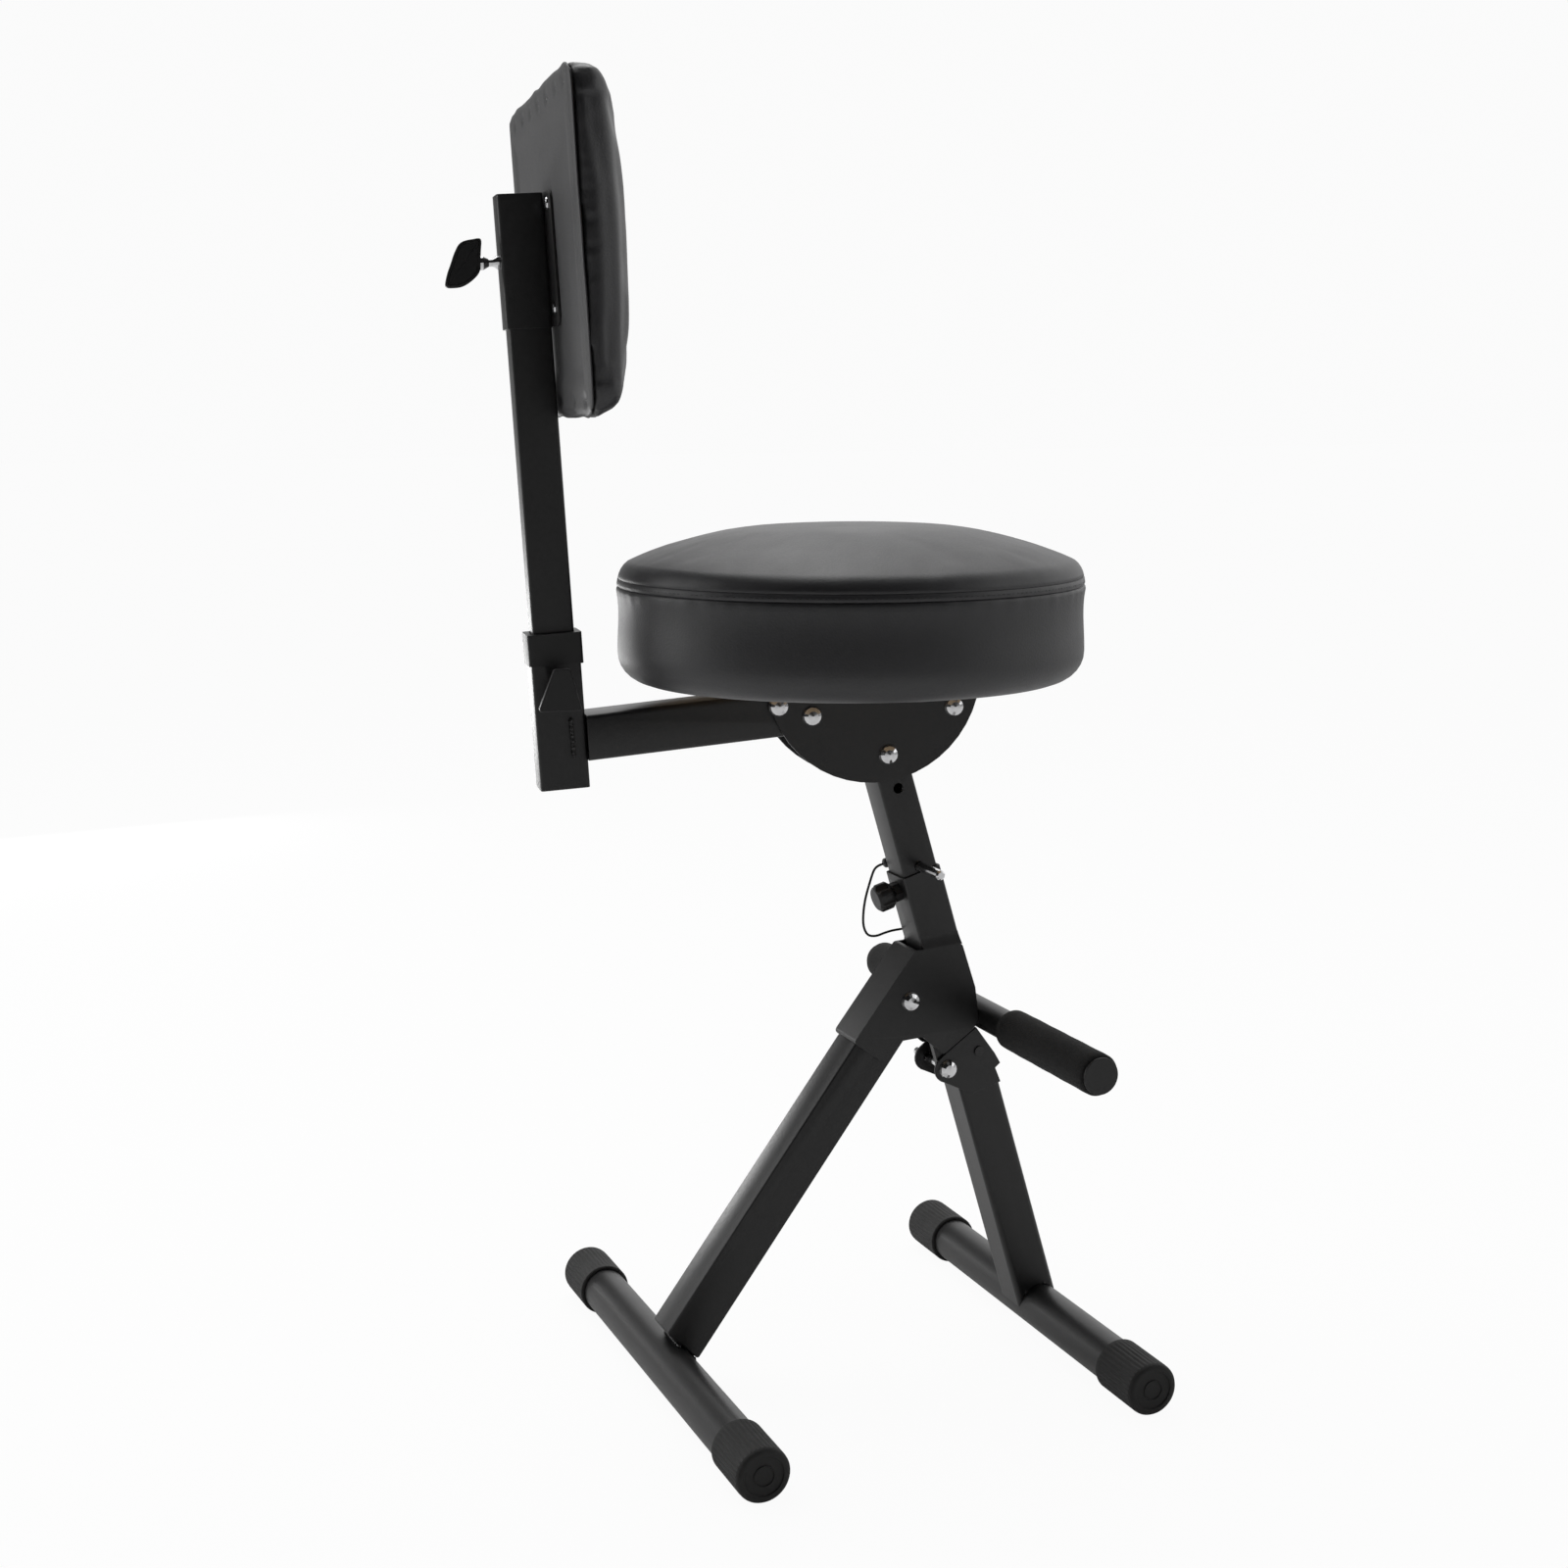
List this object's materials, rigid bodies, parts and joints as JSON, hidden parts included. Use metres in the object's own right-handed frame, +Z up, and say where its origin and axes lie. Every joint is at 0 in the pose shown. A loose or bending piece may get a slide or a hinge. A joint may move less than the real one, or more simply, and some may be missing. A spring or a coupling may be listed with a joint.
{
  "type": "guitar stool",
  "caption": "Folding guitar stool: round padded seat, sliding padded backrest on an offset post, pin-locked height column, padded footrest bar and two hinged legs with foot bars.",
  "frame": {"origin": "centre of the object's footprint at floor level", "axes": "+Z up; the front, where the sitter's feet go, is at -Y; the backrest is at +Y"},
  "size_m": [0.3808, 0.4449, 0.906],
  "materials": {
    "powder_coated_steel": "satin",
    "black_vinyl": "satin, fine grain",
    "black_rubber": "matte",
    "black_foam": "matte, ribbed",
    "black_plastic": "satin",
    "bright_chrome": "polished",
    "zinc_steel": "zinc plated",
    "plywood": "raw",
    "black_cord": "braided"
  },
  "bodies": {
    "base": {"hub": "powder_coated_steel", "hinge_lug": "powder_coated_steel", "rear_pivot_rivet": "bright_chrome", "front_hinge_axle": "bright_chrome", "front_hinge_nut": "zinc_steel", "column_sleeve": "powder_coated_steel", "clamp_nut": "zinc_steel", "lanyard_anchor": "zinc_steel", "lanyard": "black_cord", "footrest_bar": "powder_coated_steel", "foam_grip_left": "black_foam", "foam_grip_right": "black_foam", "footrest_plug_left": "black_plastic", "footrest_plug_right": "black_plastic"},
    "rear_leg": {"rear_leg": "powder_coated_steel", "rear_foot_bar": "powder_coated_steel", "rear_foot_cap_left": "black_rubber", "rear_foot_cap_right": "black_rubber"},
    "front_leg": {"front_leg": "powder_coated_steel", "leg_bracket_left": "powder_coated_steel", "leg_bracket_right": "powder_coated_steel", "latch_rivet": "zinc_steel", "front_foot_bar": "powder_coated_steel", "front_foot_cap_left": "black_rubber", "front_foot_cap_right": "black_rubber"},
    "column": {"column": "powder_coated_steel"},
    "height_pin": {"height_pin": "bright_chrome", "pin_handle": "black_plastic"},
    "clamp_knob": {"clamp_knob": "black_plastic"},
    "seat_unit": {"seat_pad": "black_vinyl", "seat_board": "plywood", "bracket_plate_left": "powder_coated_steel", "bracket_plate_right": "powder_coated_steel", "seat_screw_front_left": "bright_chrome", "seat_screw_rear_left": "bright_chrome", "seat_screw_front_right": "bright_chrome", "seat_screw_rear_right": "bright_chrome", "column_pivot_bolt": "bright_chrome", "arm_rivet_front": "bright_chrome", "arm_rivet_rear": "bright_chrome", "bracket_front_rivet": "bright_chrome", "bracket_spacer": "zinc_steel", "bracket_stop": "powder_coated_steel", "backrest_arm": "powder_coated_steel", "post_socket": "powder_coated_steel", "socket_collar": "black_plastic"},
    "socket_knob": {"socket_knob": "black_plastic"},
    "post": {"post": "powder_coated_steel", "post_foot_plug": "black_plastic", "post_head_plug": "black_plastic"},
    "carriage": {"carriage": "powder_coated_steel", "mounting_plate": "powder_coated_steel", "plate_screw_low_left": "bright_chrome", "plate_screw_low_right": "bright_chrome", "plate_screw_high_left": "bright_chrome", "plate_screw_high_right": "bright_chrome", "backrest_board": "plywood", "backrest_pad": "black_vinyl"},
    "carriage_knob": {"carriage_knob_stud": "bright_chrome", "carriage_knob_head": "black_plastic"}
  },
  "joints": [
    {"name": "rear_leg_fold", "type": "hinge", "parent": "base", "child": "rear_leg", "pos_m": [0, -0.09155, 0.271], "axis": [1, 0, 0], "range_deg": [-40, 0]},
    {"name": "front_leg_fold", "type": "hinge", "parent": "base", "child": "front_leg", "pos_m": [0, -0.12215, 0.2163], "axis": [1, 0, 0], "range_deg": [0, 50]},
    {"name": "column_height", "type": "slide", "parent": "base", "child": "column", "axis": [0, 0.2813, 0.9596], "range_m": [0, 0.061]},
    {"name": "height_pin_pull", "type": "slide", "parent": "column", "child": "height_pin", "axis": [1, 0, 0], "range_m": [0, 0.07]},
    {"name": "clamp_knob_turn", "type": "hinge", "parent": "base", "child": "clamp_knob", "pos_m": [0, -0.10461, 0.35448], "axis": [0, 0.9596, -0.2813], "continuous": true},
    {"name": "seat_fold", "type": "hinge", "parent": "column", "child": "seat_unit", "pos_m": [0, -0.07535, 0.4543], "axis": [0.989, -0.1478, 0], "range_deg": [0, 70]},
    {"name": "socket_knob_turn", "type": "hinge", "parent": "seat_unit", "child": "socket_knob", "pos_m": [0.03448, 0.15537, 0.50975], "axis": [0.989, -0.1478, 0], "continuous": true},
    {"name": "post_height", "type": "slide", "parent": "seat_unit", "child": "post", "axis": [0.0077, 0.0518, 0.9986], "range_m": [-0.02, 0.06]},
    {"name": "backrest_height", "type": "slide", "parent": "post", "child": "carriage", "axis": [0.0077, 0.0518, 0.9986], "range_m": [-0.08, 0.02]},
    {"name": "carriage_knob_turn", "type": "hinge", "parent": "carriage", "child": "carriage_knob", "pos_m": [0.03907, 0.18607, 0.7934], "axis": [0.1476, 0.9877, -0.0523], "continuous": true}
  ]
}
